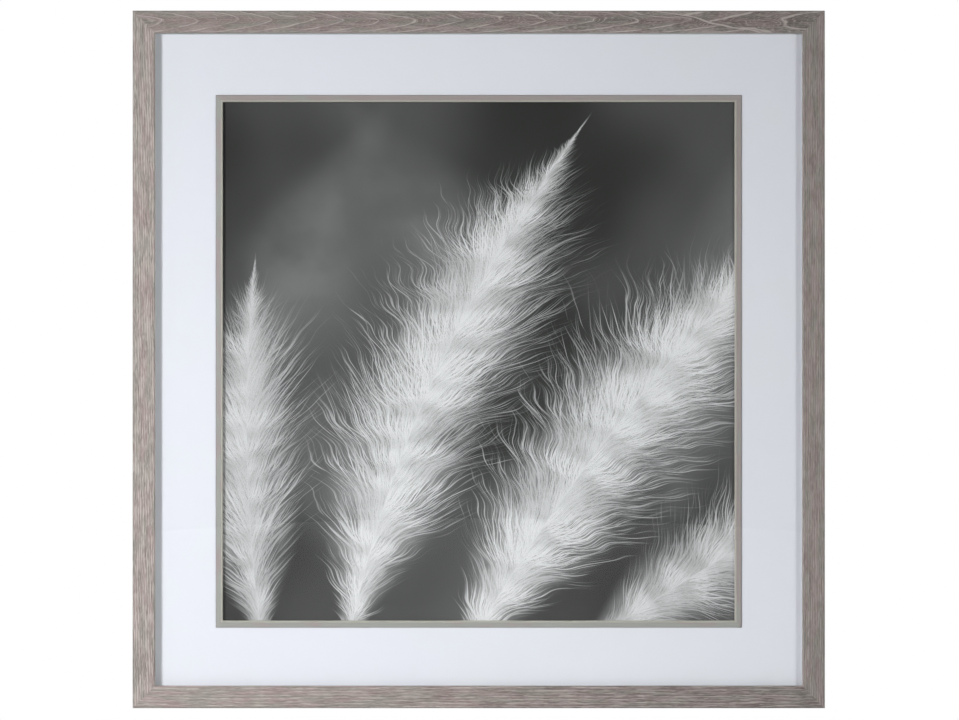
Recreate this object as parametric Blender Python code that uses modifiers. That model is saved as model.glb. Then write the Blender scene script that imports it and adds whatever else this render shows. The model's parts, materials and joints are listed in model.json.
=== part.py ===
"""Square wall-hung art print in a limed-oak frame, modelled as it comes apart on a bench.

The object stands in the XZ plane.  It faces -Y, its back is +Y, +Z is up, and the origin is the
middle of its overall box.  Every piece lies in the frame's rabbet in layers, counted as depths
back from the front face: glass, spacers, mat board, fillet, print, mount board, backing board.
"""

import math

import bmesh
import bpy
from mathutils import Matrix

MM = 0.001

# Overall size and the gap kept between pieces that touch
FRAME_WIDTH = 889.0 * MM
FRAME_HEIGHT = 896.0 * MM
GAP = 0.3 * MM

# Section of the moulding that the four rails are cut from
RAIL_FACE = 28.8 * MM
RAIL_DEPTH = 32.0 * MM
LIP_THICKNESS = 3.0 * MM
LIP_OVERHANG = 6.0 * MM
OUTER_EDGE_RADIUS = 1.5 * MM
LIP_EDGE_RADIUS = 0.8 * MM
BACK_EDGE_RADIUS = 1.0 * MM
ARC_STEPS = 5

# Layers in the rabbet
GLASS_THICKNESS = 2.0 * MM
SPACER_THICKNESS = 3.0 * MM
SPACER_WIDTH = 3.0 * MM
MAT_THICKNESS = 1.4 * MM
PRINT_THICKNESS = 0.3 * MM
MOUNT_BOARD_THICKNESS = 5.0 * MM
BACKING_THICKNESS = 3.0 * MM
PACKAGE_CLEARANCE = 1.5 * MM

# Fillet strips that line the mat's window
FILLET_OUTER_WIDTH = 676.6 * MM
FILLET_OUTER_HEIGHT = 685.3 * MM
FILLET_FACE = 8.8 * MM
FILLET_PROUD = 2.0 * MM
FILLET_EDGE_RADIUS = 0.6 * MM
WINDOW_DROP = 1.3 * MM

# V-nails across the mitres
V_NAIL_LEG = 6.5 * MM
V_NAIL_SHEET = 0.8 * MM
V_NAIL_HEIGHT = 7.0 * MM
V_NAIL_INSETS = (5.0 * MM, 13.0 * MM)

# Framer's points that hold the backing board in
POINT_LENGTH = 15.0 * MM
POINT_WIDTH = 6.0 * MM
POINT_SHEET = 0.6 * MM
POINT_BITE = 5.5 * MM
POINT_SPACING = 280.0 * MM

# Dust cover on the back
COVER_THICKNESS = 0.3 * MM
COVER_MARGIN = 3.0 * MM

# D-ring hangers on the side rails
HANGER_INSET = 13.5 * MM
HANGER_HEIGHT = 224.0 * MM
STRAP_WIDTH = 13.0 * MM
STRAP_LENGTH = 56.0 * MM
STRAP_THICKNESS = 2.0 * MM
RING_WIRE_RADIUS = 1.5 * MM
RING_HALF_WIDTH = 10.0 * MM
RING_SIDE = 10.0 * MM
RING_CORNER = 2.5 * MM
RING_LEAN = math.radians(4.0)
KNUCKLE_RADIUS = 2.8 * MM
KNUCKLE_BORE = RING_WIRE_RADIUS + GAP
SCREW_DROPS = (29.0 * MM, 47.0 * MM)

# Screws through the straps
SCREW_RADIUS = 1.5 * MM
SCREW_LENGTH = 12.0 * MM
SCREW_TIP = 2.5 * MM
SCREW_HEAD_RADIUS = 3.0 * MM
SCREW_HEAD_HEIGHT = 1.6 * MM

# Rubber bumpers
BUMPER_RADIUS = 6.0 * MM
BUMPER_TOP_RADIUS = 5.0 * MM
BUMPER_THICKNESS = 6.0 * MM
BUMPER_INSET = 12.0 * MM

ROUND_STEPS = 24

# Depths back from the front face, each layer one gap behind the last
GLASS_FRONT = LIP_THICKNESS + GAP
SPACER_FRONT = GLASS_FRONT + GLASS_THICKNESS + GAP
MAT_FRONT = SPACER_FRONT + SPACER_THICKNESS + GAP
PRINT_FRONT = MAT_FRONT + MAT_THICKNESS + GAP
MOUNT_BOARD_FRONT = PRINT_FRONT + PRINT_THICKNESS + GAP
BACKING_FRONT = MOUNT_BOARD_FRONT + MOUNT_BOARD_THICKNESS + GAP
POINT_FRONT = BACKING_FRONT + BACKING_THICKNESS + GAP
FILLET_FRONT = MAT_FRONT - FILLET_PROUD
FILLET_BACK = PRINT_FRONT - GAP
COVER_FRONT = RAIL_DEPTH + GAP
HARDWARE_FRONT = COVER_FRONT + COVER_THICKNESS + GAP
OVERALL_DEPTH = HARDWARE_FRONT + BUMPER_THICKNESS
FRONT_Y = -OVERALL_DEPTH / 2

# The package of layers rests on the bottom rail and is smaller than the rabbet all round
RABBET_WALL = RAIL_FACE - LIP_OVERHANG
PACKAGE_WIDTH = FRAME_WIDTH - 2 * (RABBET_WALL + PACKAGE_CLEARANCE)
PACKAGE_HEIGHT = FRAME_HEIGHT - 2 * (RABBET_WALL + PACKAGE_CLEARANCE)
PACKAGE_Z = GAP - PACKAGE_CLEARANCE
WINDOW_Z = PACKAGE_Z - WINDOW_DROP

# Each side of a rectangle: its turn about Y from the left side, and whether it runs upright
SIDES = {
    "left": (0.0, True),
    "bottom": (-90.0, False),
    "right": (180.0, True),
    "top": (90.0, False),
}
# Each corner: its turn about Y from the top left one, and which way it lies from the middle
CORNERS = {
    "top_left": (0.0, -1, 1),
    "top_right": (90.0, 1, 1),
    "bottom_right": (180.0, 1, -1),
    "bottom_left": (-90.0, -1, -1),
}
# Turns an outline drawn in X and Z, as seen from the front, into one extruded along Y
FRONT_VIEW = Matrix.Rotation(math.radians(90), 4, "X")


def clear_scene():
    for old in list(bpy.data.objects):
        bpy.data.objects.remove(old, do_unlink=True)


def new_collection(name):
    collection = bpy.data.collections.new(name)
    bpy.context.scene.collection.children.link(collection)
    return collection


def new_material(name, colour, roughness, metallic=0.0, transmission=0.0):
    material = bpy.data.materials.new(name)
    material.use_nodes = True
    shader = material.node_tree.nodes["Principled BSDF"]
    shader.inputs["Base Color"].default_value = (*colour, 1.0)
    shader.inputs["Roughness"].default_value = roughness
    shader.inputs["Metallic"].default_value = metallic
    shader.inputs["Transmission Weight"].default_value = transmission
    return material


def move_to(obj, collection):
    for old in list(obj.users_collection):
        old.objects.unlink(obj)
    collection.objects.link(obj)


def keep_as_part(obj, material):
    move_to(obj, PARTS)
    obj.data.materials.clear()
    obj.data.materials.append(material)
    return obj


def keep_as_cutter(obj):
    move_to(obj, CUTTERS)
    obj.hide_render = True
    obj.display_type = "WIRE"
    return obj


def cut(obj, cutter):
    boolean = obj.modifiers.new("cut_" + cutter.name, "BOOLEAN")
    boolean.operation = "DIFFERENCE"
    boolean.solver = "EXACT"
    boolean.object = cutter


def box(name, size, matrix):
    """A box of the given size, centred on the matrix's origin."""
    bpy.ops.mesh.primitive_cube_add(size=1)
    obj = bpy.context.object
    obj.name = name
    obj.data.transform(Matrix.Diagonal((*size, 1.0)))
    obj.matrix_world = matrix
    return obj


def cylinder(name, radius, depth, matrix):
    """A cylinder along the matrix's Z, centred on its origin."""
    bpy.ops.mesh.primitive_cylinder_add(vertices=ROUND_STEPS, radius=radius, depth=depth)
    obj = bpy.context.object
    obj.name = name
    obj.matrix_world = matrix
    return obj


def prism(name, loops, depth, matrix):
    """A flat outline, with holes where a loop lies inside another, extruded along local Z."""
    curve = bpy.data.curves.new(name, "CURVE")
    curve.dimensions = "2D"
    curve.fill_mode = "BOTH"
    curve.extrude = depth / 2
    for loop in loops:
        spline = curve.splines.new("POLY")
        spline.points.add(len(loop) - 1)
        for point, (x, y) in zip(spline.points, loop):
            point.co = (x, y, 0.0, 1.0)
        spline.use_cyclic_u = True
    outline = bpy.data.objects.new(name + "_outline", curve)
    bpy.context.scene.collection.objects.link(outline)
    evaluated = outline.evaluated_get(bpy.context.evaluated_depsgraph_get())
    mesh = bpy.data.meshes.new_from_object(evaluated)
    weld(mesh)
    obj = bpy.data.objects.new(name, mesh)
    bpy.context.scene.collection.objects.link(obj)
    obj.matrix_world = matrix
    bpy.data.objects.remove(outline, do_unlink=True)
    return obj


def weld(mesh):
    work = bmesh.new()
    work.from_mesh(mesh)
    bmesh.ops.remove_doubles(work, verts=work.verts, dist=1e-6)
    bmesh.ops.recalc_face_normals(work, faces=work.faces)
    work.to_mesh(mesh)
    work.free()


def rectangle(width, height, x=0.0, z=0.0):
    left, right = x - width / 2, x + width / 2
    low, high = z - height / 2, z + height / 2
    return [(left, low), (right, low), (right, high), (left, high)]


def arc(centre, radius, start, end, steps):
    """Points along an arc, in degrees, both ends included."""
    angles = [math.radians(start + (end - start) * i / steps) for i in range(steps + 1)]
    return [(centre[0] + radius * math.cos(a), centre[1] + radius * math.sin(a)) for a in angles]


def circle(centre, radius):
    return arc(centre, radius, 0, 360 - 360 / ROUND_STEPS, ROUND_STEPS - 1)


def depth_y(depth):
    """World Y of a depth behind the front face."""
    return FRONT_Y + depth


def side_matrix(side, width, height, z=0.0):
    """A frame at the middle of one side of a rectangle: X inward, Y back, Z along the side."""
    turn, upright = SIDES[side]
    reach = (width if upright else height) / 2
    rotation = Matrix.Rotation(math.radians(turn), 4, "Y")
    return Matrix.Translation((0, FRONT_Y, z)) @ rotation @ Matrix.Translation((-reach, 0, 0))


def mitred_bar(name, section, side, width, height, z=0.0):
    """One side of a rectangular frame, its section extruded and its ends mitred at 45 degrees."""
    half_length = (height if SIDES[side][1] else width) / 2
    bar = prism(name, [section], 2 * half_length, side_matrix(side, width, height, z))
    back_off = GAP / 2 * math.sqrt(2)
    for vertex in bar.data.vertices:
        reach = half_length - vertex.co.x - back_off
        vertex.co.z = math.copysign(reach, vertex.co.z)
    return bar


def rail_section():
    """The moulding, drawn as distance in from its outer edge and distance back from its face."""
    outer, lip, back = OUTER_EDGE_RADIUS, LIP_EDGE_RADIUS, BACK_EDGE_RADIUS
    return [
        *arc((outer, outer), outer, 180, 270, ARC_STEPS),
        *arc((RAIL_FACE - lip, lip), lip, 270, 360, ARC_STEPS),
        (RAIL_FACE, LIP_THICKNESS),
        (RABBET_WALL, LIP_THICKNESS),
        (RABBET_WALL, RAIL_DEPTH),
        *arc((back, RAIL_DEPTH - back), back, 90, 180, ARC_STEPS),
    ]


def make_rails():
    return {
        side: keep_as_part(
            mitred_bar("rail_" + side, rail_section(), side, FRAME_WIDTH, FRAME_HEIGHT),
            new_material("limed_oak_" + side, (0.34, 0.29, 0.27), 0.6),
        )
        for side in SIDES
    }


def v_nail_outline(inset, grow):
    """Two legs at a right angle, one in each rail, with their outer corner on the mitre."""
    near = inset - V_NAIL_SHEET / 2 - grow
    far = inset + V_NAIL_SHEET / 2 + grow
    tip = inset + V_NAIL_LEG + grow
    return [(near, -near), (tip, -near), (tip, -far), (far, -far), (far, -tip), (near, -tip)]


def make_v_nails(rails):
    steel = new_material("v_nail_steel", (0.45, 0.45, 0.46), 0.35, 1.0)
    slot_depth = V_NAIL_HEIGHT + 2 * GAP
    for corner, (turn, right, up) in CORNERS.items():
        rotation = Matrix.Rotation(math.radians(turn), 4, "Y")
        for number, inset in enumerate(V_NAIL_INSETS, start=1):
            name = f"v_nail_{corner}_{number}"
            x, z = right * FRAME_WIDTH / 2, up * FRAME_HEIGHT / 2
            nail_y = depth_y(RAIL_DEPTH - GAP - V_NAIL_HEIGHT / 2)
            nail_place = Matrix.Translation((x, nail_y, z)) @ rotation @ FRONT_VIEW
            nail = prism(name, [v_nail_outline(inset, 0.0)], V_NAIL_HEIGHT, nail_place)
            keep_as_part(nail, steel)
            slot = prism(name + "_slot", [v_nail_outline(inset, GAP)], slot_depth, nail_place)
            keep_as_cutter(slot)
            for side in corner.split("_"):
                cut(rails[side], slot)


def make_glazing():
    middle = depth_y(GLASS_FRONT + GLASS_THICKNESS / 2)
    size = (PACKAGE_WIDTH, GLASS_THICKNESS, PACKAGE_HEIGHT)
    glass = box("glazing", size, Matrix.Translation((0, middle, PACKAGE_Z)))
    keep_as_part(glass, new_material("picture_glass", (0.95, 0.97, 0.96), 0.02, 0.0, 1.0))


def make_spacers():
    """Strips between glass and mat, the upright ones between the other two."""
    plastic = new_material("spacer_plastic", (0.8, 0.8, 0.8), 0.4)
    middle = SPACER_FRONT + SPACER_THICKNESS / 2
    for side, (_, upright) in SIDES.items():
        if upright:
            length = PACKAGE_HEIGHT - 2 * (SPACER_WIDTH + GAP)
        else:
            length = PACKAGE_WIDTH
        place = side_matrix(side, PACKAGE_WIDTH, PACKAGE_HEIGHT, PACKAGE_Z)
        place = place @ Matrix.Translation((SPACER_WIDTH / 2, middle, 0))
        spacer = box("spacer_" + side, (SPACER_WIDTH, SPACER_THICKNESS, length), place)
        keep_as_part(spacer, plastic)


def make_mat_board():
    outer = rectangle(PACKAGE_WIDTH, PACKAGE_HEIGHT, z=PACKAGE_Z)
    window = rectangle(FILLET_OUTER_WIDTH + 2 * GAP, FILLET_OUTER_HEIGHT + 2 * GAP, z=WINDOW_Z)
    place = Matrix.Translation((0, depth_y(MAT_FRONT + MAT_THICKNESS / 2), 0)) @ FRONT_VIEW
    board = prism("mat_board", [outer, window], MAT_THICKNESS, place)
    keep_as_part(board, new_material("mat_white", (0.84, 0.85, 0.87), 0.8))


def fillet_section():
    edge = FILLET_EDGE_RADIUS
    front, back = FILLET_FRONT, FILLET_BACK
    return [
        *arc((edge, front + edge), edge, 180, 270, ARC_STEPS),
        *arc((FILLET_FACE - edge, front + edge), edge, 270, 360, ARC_STEPS),
        (FILLET_FACE, back),
        (0.0, back),
    ]


def make_fillets():
    wood = new_material("fillet_wood", (0.38, 0.35, 0.33), 0.5)
    for side in SIDES:
        fillet = mitred_bar(
            "fillet_" + side,
            fillet_section(),
            side,
            FILLET_OUTER_WIDTH,
            FILLET_OUTER_HEIGHT,
            WINDOW_Z,
        )
        keep_as_part(fillet, wood)


def make_sheet(name, front, thickness, material):
    """A plain sheet or board that fills the package."""
    size = (PACKAGE_WIDTH, thickness, PACKAGE_HEIGHT)
    place = Matrix.Translation((0, depth_y(front + thickness / 2), PACKAGE_Z))
    return keep_as_part(box(name, size, place), material)


def make_boards():
    paper = new_material("print_paper", (0.12, 0.12, 0.12), 0.5)
    foam_board = new_material("foam_board", (0.85, 0.85, 0.83), 0.8)
    hardboard = new_material("hardboard", (0.25, 0.15, 0.08), 0.7)
    make_sheet("art_print", PRINT_FRONT, PRINT_THICKNESS, paper)
    make_sheet("mount_board", MOUNT_BOARD_FRONT, MOUNT_BOARD_THICKNESS, foam_board)
    make_sheet("backing_board", BACKING_FRONT, BACKING_THICKNESS, hardboard)


def make_points(rails):
    """Flat steel tabs pushed into the rabbet's wall, three to a side."""
    steel = new_material("point_steel", (0.5, 0.5, 0.5), 0.35, 1.0)
    middle = POINT_FRONT + POINT_SHEET / 2
    centre = RABBET_WALL - POINT_BITE + POINT_LENGTH / 2
    slot_size = (POINT_LENGTH + 2 * GAP, POINT_SHEET + 2 * GAP, POINT_WIDTH + 2 * GAP)
    for side, rail in rails.items():
        for number in (1, 2, 3):
            name = f"point_{side}_{number}"
            place = side_matrix(side, FRAME_WIDTH, FRAME_HEIGHT)
            place = place @ Matrix.Translation((centre, middle, POINT_SPACING * (number - 2)))
            keep_as_part(box(name, (POINT_LENGTH, POINT_SHEET, POINT_WIDTH), place), steel)
            cut(rail, keep_as_cutter(box(name + "_slot", slot_size, place)))


def hanger_x(hand):
    """Middle of the hanger on the right (+1) or left (-1) rail."""
    return hand * (FRAME_WIDTH / 2 - HANGER_INSET)


def make_dust_cover():
    outer = rectangle(FRAME_WIDTH - 2 * COVER_MARGIN, FRAME_HEIGHT - 2 * COVER_MARGIN)
    holes = [
        circle((hanger_x(hand), HANGER_HEIGHT - drop), SCREW_RADIUS + GAP)
        for hand in (-1, 1)
        for drop in SCREW_DROPS
    ]
    place = Matrix.Translation((0, depth_y(COVER_FRONT + COVER_THICKNESS / 2), 0)) @ FRONT_VIEW
    cover = prism("dust_cover", [outer, *holes], COVER_THICKNESS, place)
    keep_as_part(cover, new_material("kraft_paper", (0.42, 0.28, 0.16), 0.85))


def strap_section():
    """The strap from the side, drawn as distance down from the knuckle and height off the back."""
    centre = (0.0, KNUCKLE_RADIUS)
    meeting = math.degrees(math.asin((STRAP_THICKNESS - KNUCKLE_RADIUS) / KNUCKLE_RADIUS))
    return [
        (STRAP_LENGTH, STRAP_THICKNESS),
        (STRAP_LENGTH, 0.0),
        *arc(centre, KNUCKLE_RADIUS, 270, meeting, ROUND_STEPS),
    ]


def make_strap(name, hand, metal):
    """A strip folded round the ring's bar, with two screw holes."""
    drawn = Matrix(((0, 0, 1, 0), (0, 1, 0, 0), (-1, 0, 0, 0), (0, 0, 0, 1)))
    place = Matrix.Translation((hanger_x(hand), depth_y(HARDWARE_FRONT), HANGER_HEIGHT)) @ drawn
    bore = circle((0.0, KNUCKLE_RADIUS), KNUCKLE_BORE)
    strap = prism(name, [strap_section(), bore], STRAP_WIDTH, place)
    keep_as_part(strap, metal)
    for number, drop in enumerate(SCREW_DROPS, start=1):
        hole_place = Matrix.Translation(
            (hanger_x(hand), depth_y(HARDWARE_FRONT), HANGER_HEIGHT - drop)
        )
        hole = cylinder(
            f"{name}_hole_{number}",
            SCREW_RADIUS + GAP,
            4 * STRAP_THICKNESS,
            hole_place @ FRONT_VIEW,
        )
        cut(strap, keep_as_cutter(hole))


def ring_outline():
    """A D: a straight bar through the knuckle at the top, two sides and a round foot."""
    corner = RING_CORNER
    half = RING_HALF_WIDTH
    left_corner = arc((corner - half, -corner), corner, 90, 180, ARC_STEPS)
    foot = arc((0.0, -RING_SIDE), half, 180, 360, ROUND_STEPS)
    right_corner = arc((half - corner, -corner), corner, 0, 90, ARC_STEPS)
    return left_corner + foot + right_corner


def make_ring(name, hand, metal):
    """The ring hangs from its bar, tipped out just enough to lie over the strap."""
    pivot = bpy.data.objects.new(name + "_pivot", None)
    PARTS.objects.link(pivot)
    pivot.location = (hanger_x(hand), depth_y(HARDWARE_FRONT + KNUCKLE_RADIUS), HANGER_HEIGHT)
    pivot.rotation_euler = (RING_LEAN, 0, 0)
    curve = bpy.data.curves.new(name, "CURVE")
    curve.dimensions = "3D"
    curve.bevel_depth = RING_WIRE_RADIUS
    curve.bevel_resolution = 3
    points = ring_outline()
    spline = curve.splines.new("POLY")
    spline.points.add(len(points) - 1)
    for point, (x, z) in zip(spline.points, points):
        point.co = (x, 0.0, z, 1.0)
    spline.use_cyclic_u = True
    ring = bpy.data.objects.new(name, curve)
    PARTS.objects.link(ring)
    ring.parent = pivot
    curve.materials.append(metal)


def make_screw(name, hand, drop, rail, metal):
    """A pan-head wood screw, turned about its own axis and driven in from the back."""
    head_seat = HARDWARE_FRONT + STRAP_THICKNESS + GAP
    profile = [
        (0.0, SCREW_HEAD_HEIGHT),
        (SCREW_HEAD_RADIUS * 0.6, SCREW_HEAD_HEIGHT),
        (SCREW_HEAD_RADIUS, SCREW_HEAD_HEIGHT * 0.4),
        (SCREW_HEAD_RADIUS, 0.0),
        (SCREW_RADIUS, 0.0),
        (SCREW_RADIUS, SCREW_TIP - SCREW_LENGTH),
        (0.0, -SCREW_LENGTH),
    ]
    mesh = bpy.data.meshes.new(name)
    edges = [(i, i + 1) for i in range(len(profile) - 1)]
    mesh.from_pydata([(radius, 0.0, z) for radius, z in profile], edges, [])
    screw = bpy.data.objects.new(name, mesh)
    turn = screw.modifiers.new("turn", "SCREW")
    turn.steps = ROUND_STEPS
    turn.render_steps = ROUND_STEPS
    turn.use_merge_vertices = True
    turn.merge_threshold = 0.00001
    axis_out = Matrix.Rotation(math.radians(-90), 4, "X")
    x, z = hanger_x(hand), HANGER_HEIGHT - drop
    screw.matrix_world = Matrix.Translation((x, depth_y(head_seat), z)) @ axis_out
    bpy.context.scene.collection.objects.link(screw)
    keep_as_part(screw, metal)
    hole_depth = SCREW_LENGTH + GAP
    hole_y = depth_y(head_seat - hole_depth / 2)
    hole_place = Matrix.Translation((x, hole_y, z)) @ axis_out
    hole = cylinder(name + "_pilot", SCREW_RADIUS + GAP, hole_depth, hole_place)
    cut(rail, keep_as_cutter(hole))


def make_hangers(rails):
    metal = new_material("zinc_plate", (0.6, 0.6, 0.6), 0.3, 1.0)
    for side, hand in (("left", -1), ("right", 1)):
        make_strap("hanger_strap_" + side, hand, metal)
        make_ring("hanger_ring_" + side, hand, metal)
        for number, drop in enumerate(SCREW_DROPS, start=1):
            make_screw(f"hanger_screw_{side}_{number}", hand, drop, rails[side], metal)


def make_bumpers():
    rubber = new_material("bumper_rubber", (0.05, 0.05, 0.05), 0.7)
    x = FRAME_WIDTH / 2 - BUMPER_INSET
    z = FRAME_HEIGHT / 2 - BUMPER_INSET
    y = depth_y(HARDWARE_FRONT + BUMPER_THICKNESS / 2)
    for corner, (_, right, up) in CORNERS.items():
        bpy.ops.mesh.primitive_cone_add(
            vertices=ROUND_STEPS,
            radius1=BUMPER_RADIUS,
            radius2=BUMPER_TOP_RADIUS,
            depth=BUMPER_THICKNESS,
            location=(right * x, y, up * z),
            rotation=(math.radians(-90), 0, 0),
        )
        bumper = bpy.context.object
        bumper.name = "bumper_" + corner
        keep_as_part(bumper, rubber)


def smooth_round_pieces():
    """Round pieces shade smooth, with their sharp edges kept."""
    round_names = ("rail_", "fillet_", "hanger_screw_", "hanger_strap_", "bumper_")
    for obj in PARTS.objects:
        if obj.name.startswith(round_names):
            obj.data.shade_smooth()
            obj.data.set_sharp_from_angle(angle=math.radians(35))


clear_scene()
PARTS = new_collection("framed_print")
CUTTERS = new_collection("cutters")
rail_pieces = make_rails()
make_v_nails(rail_pieces)
make_glazing()
make_spacers()
make_mat_board()
make_fillets()
make_boards()
make_points(rail_pieces)
make_dust_cover()
make_hangers(rail_pieces)
make_bumpers()
smooth_round_pieces()
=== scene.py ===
"""Looks of the framed art print: wood, mat, fillet, glass, picture, dust cover and hardware.

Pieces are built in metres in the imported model's frame: -Y is the picture's front, +Z is up.
"""

import json
import math

import bmesh
import bpy
from mathutils import Matrix, Vector, geometry, noise


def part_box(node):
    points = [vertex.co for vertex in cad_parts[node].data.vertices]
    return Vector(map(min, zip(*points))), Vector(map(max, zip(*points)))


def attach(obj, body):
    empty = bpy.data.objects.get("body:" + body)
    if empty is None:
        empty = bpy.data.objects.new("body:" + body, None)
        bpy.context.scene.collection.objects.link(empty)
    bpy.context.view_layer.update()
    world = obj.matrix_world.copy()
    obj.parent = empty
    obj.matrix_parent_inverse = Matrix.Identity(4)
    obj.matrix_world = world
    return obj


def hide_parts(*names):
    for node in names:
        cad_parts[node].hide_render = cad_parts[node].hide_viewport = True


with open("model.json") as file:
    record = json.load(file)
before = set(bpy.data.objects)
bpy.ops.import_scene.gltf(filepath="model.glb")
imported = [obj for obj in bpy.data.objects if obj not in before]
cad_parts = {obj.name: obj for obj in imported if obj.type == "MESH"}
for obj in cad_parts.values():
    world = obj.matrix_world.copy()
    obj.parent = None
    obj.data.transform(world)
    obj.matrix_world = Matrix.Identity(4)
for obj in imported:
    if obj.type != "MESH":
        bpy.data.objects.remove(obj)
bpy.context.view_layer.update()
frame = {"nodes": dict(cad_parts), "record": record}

MM = 0.001


def mm(*lengths):
    """Lengths given in millimetres, in metres."""
    return [length * MM for length in lengths]


# The name of the UV map laid out for baking the materials on.
BAKE_MAP = "OFBake"
# How far a piece made for the left side turns about Y, in degrees, to serve on each side.
SIDES = {"left": 0.0, "bottom": -90.0, "right": 180.0, "top": 90.0}

FRAME_LOW, FRAME_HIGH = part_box("rail_left")[0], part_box("rail_right")[1]
FRONT_Y = FRAME_LOW.y
RAIL_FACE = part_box("rail_left")[1].x - FRAME_LOW.x
RAIL_DEPTH = FRAME_HIGH.y - FRAME_LOW.y
GLASS_GAP = 0.3 * MM
LIP_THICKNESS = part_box("glazing")[0].y - FRONT_Y - GLASS_GAP
LIP_REACH = 6.0 * MM
RABBET_WALL = RAIL_FACE - LIP_REACH


# ---------------- shader arithmetic


class Field:
    """A number or colour that varies over a surface, made of shader nodes by plain arithmetic."""

    def __init__(self, tree, socket):
        self.tree = tree
        self.socket = socket

    def __abs__(self):
        return maths("ABSOLUTE", self)


def give_operator(sign, operation):
    """Lets a field be joined to a number or a field by one of Python's signs."""
    setattr(Field, f"__{sign}__", lambda self, other: maths(operation, self, other))
    setattr(Field, f"__r{sign}__", lambda self, other: maths(operation, other, self))


for sign, operation in dict(add="ADD", sub="SUBTRACT", mul="MULTIPLY", truediv="DIVIDE", pow="POWER").items():
    give_operator(sign, operation)


def plug(tree, socket, value):
    """Links a socket to a field, or sets it to a plain number or colour."""
    if isinstance(value, Field):
        tree.links.new(value.socket, socket)
    elif isinstance(value, tuple) and socket.type == "RGBA":
        socket.default_value = (*value, 1.0)
    else:
        socket.default_value = value


def tree_of(*values):
    """The node tree that the fields among the values belong to."""
    return next(value.tree for value in values if isinstance(value, Field))


def maths(operation, *values):
    """One Math node, fed with fields and numbers."""
    tree = tree_of(*values)
    node = tree.nodes.new("ShaderNodeMath")
    node.operation = operation
    for socket, value in zip(node.inputs, values):
        plug(tree, socket, value)
    return Field(tree, node.outputs[0])


def ramp(value, low, high, new_low=0.0, new_high=1.0):
    """Maps low..high to new_low..new_high along a smooth step."""
    tree = tree_of(value)
    node = tree.nodes.new("ShaderNodeMapRange")
    node.interpolation_type = "SMOOTHSTEP"
    for socket, number in zip(node.inputs, (value, low, high, new_low, new_high)):
        plug(tree, socket, number)
    return Field(tree, node.outputs[0])


def fall(value, low, high):
    """Falls from 1 at low to 0 at high."""
    return ramp(value, low, high, 1.0, 0.0)


def grain(x, y, z, detail=2.0, rough=0.5):
    """Noise about a unit across, from 0 to 1 and mostly near 0.5."""
    tree = tree_of(x, y, z)
    place = tree.nodes.new("ShaderNodeCombineXYZ")
    for socket, value in zip(place.inputs, (x, y, z)):
        plug(tree, socket, value)
    node = tree.nodes.new("ShaderNodeTexNoise")
    tree.links.new(place.outputs[0], node.inputs["Vector"])
    node.inputs["Scale"].default_value = 1.0
    node.inputs["Detail"].default_value = detail
    node.inputs["Roughness"].default_value = rough
    return Field(tree, node.outputs[0])


def blend(amount, under, over):
    """The colour under with amount of the colour over on it."""
    tree = tree_of(amount, under, over)
    node = tree.nodes.new("ShaderNodeMix")
    node.data_type = "RGBA"
    for index, value in ((0, amount), (6, under), (7, over)):
        plug(tree, node.inputs[index], value)
    return Field(tree, node.outputs[2])


def scaled(colour, factor):
    """The colour times a number."""
    tree = tree_of(colour, factor)
    node = tree.nodes.new("ShaderNodeVectorMath")
    node.operation = "SCALE"
    plug(tree, node.inputs[0], colour)
    plug(tree, node.inputs["Scale"], factor)
    return Field(tree, node.outputs[0])


def own_place(tree):
    """The piece's own X, Y and Z, in millimetres."""
    place = tree.nodes.new("ShaderNodeTexCoord")
    in_mm = tree.nodes.new("ShaderNodeVectorMath")
    in_mm.operation = "SCALE"
    tree.links.new(place.outputs["Object"], in_mm.inputs[0])
    in_mm.inputs["Scale"].default_value = 1 / MM
    parts = tree.nodes.new("ShaderNodeSeparateXYZ")
    tree.links.new(in_mm.outputs[0], parts.inputs[0])
    return [Field(tree, socket) for socket in parts.outputs]


def new_material(name):
    """A material with only its output node, and its piece's own X, Y and Z."""
    material = bpy.data.materials.new(name)
    material.use_nodes = True
    material.node_tree.nodes.clear()
    material.node_tree.nodes.new("ShaderNodeOutputMaterial")
    return material, own_place(material.node_tree)


def principled(material, colour, roughness, relief=None, height=0.0, **settings):
    """Finishes a material with a Principled shader, bumped by relief times height metres."""
    tree = material.node_tree
    shader = tree.nodes.new("ShaderNodeBsdfPrincipled")
    plug(tree, shader.inputs["Base Color"], colour)
    plug(tree, shader.inputs["Roughness"], roughness)
    for name, value in settings.items():
        plug(tree, shader.inputs[name.replace("_", " ")], value)
    if relief is not None:
        bump = tree.nodes.new("ShaderNodeBump")
        bump.inputs["Strength"].default_value = 0.7
        bump.inputs["Distance"].default_value = height
        tree.links.new(relief.socket, bump.inputs["Height"])
        tree.links.new(bump.outputs[0], shader.inputs["Normal"])
    output = tree.nodes["Material Output"]
    tree.links.new(shader.outputs[0], output.inputs[0])
    return material


# ---------------- wood


# The oak's grey wash where it is mauve and where it is sage, its open grain, lime, and the painted shade of
# its rounded outer edge.
OAK_MAUVE, OAK_SAGE = (0.394, 0.306, 0.312), (0.347, 0.322, 0.305)
OAK_DARK, OAK_LIME, OAK_EDGE_SHADE = (0.150, 0.118, 0.115), (0.718, 0.630, 0.628), (0.135, 0.134, 0.124)
# How far from its middle, in mm, a rail has the brightness (partly painted light) and vigour given for its
# ends.
RAIL_END = 430


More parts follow.
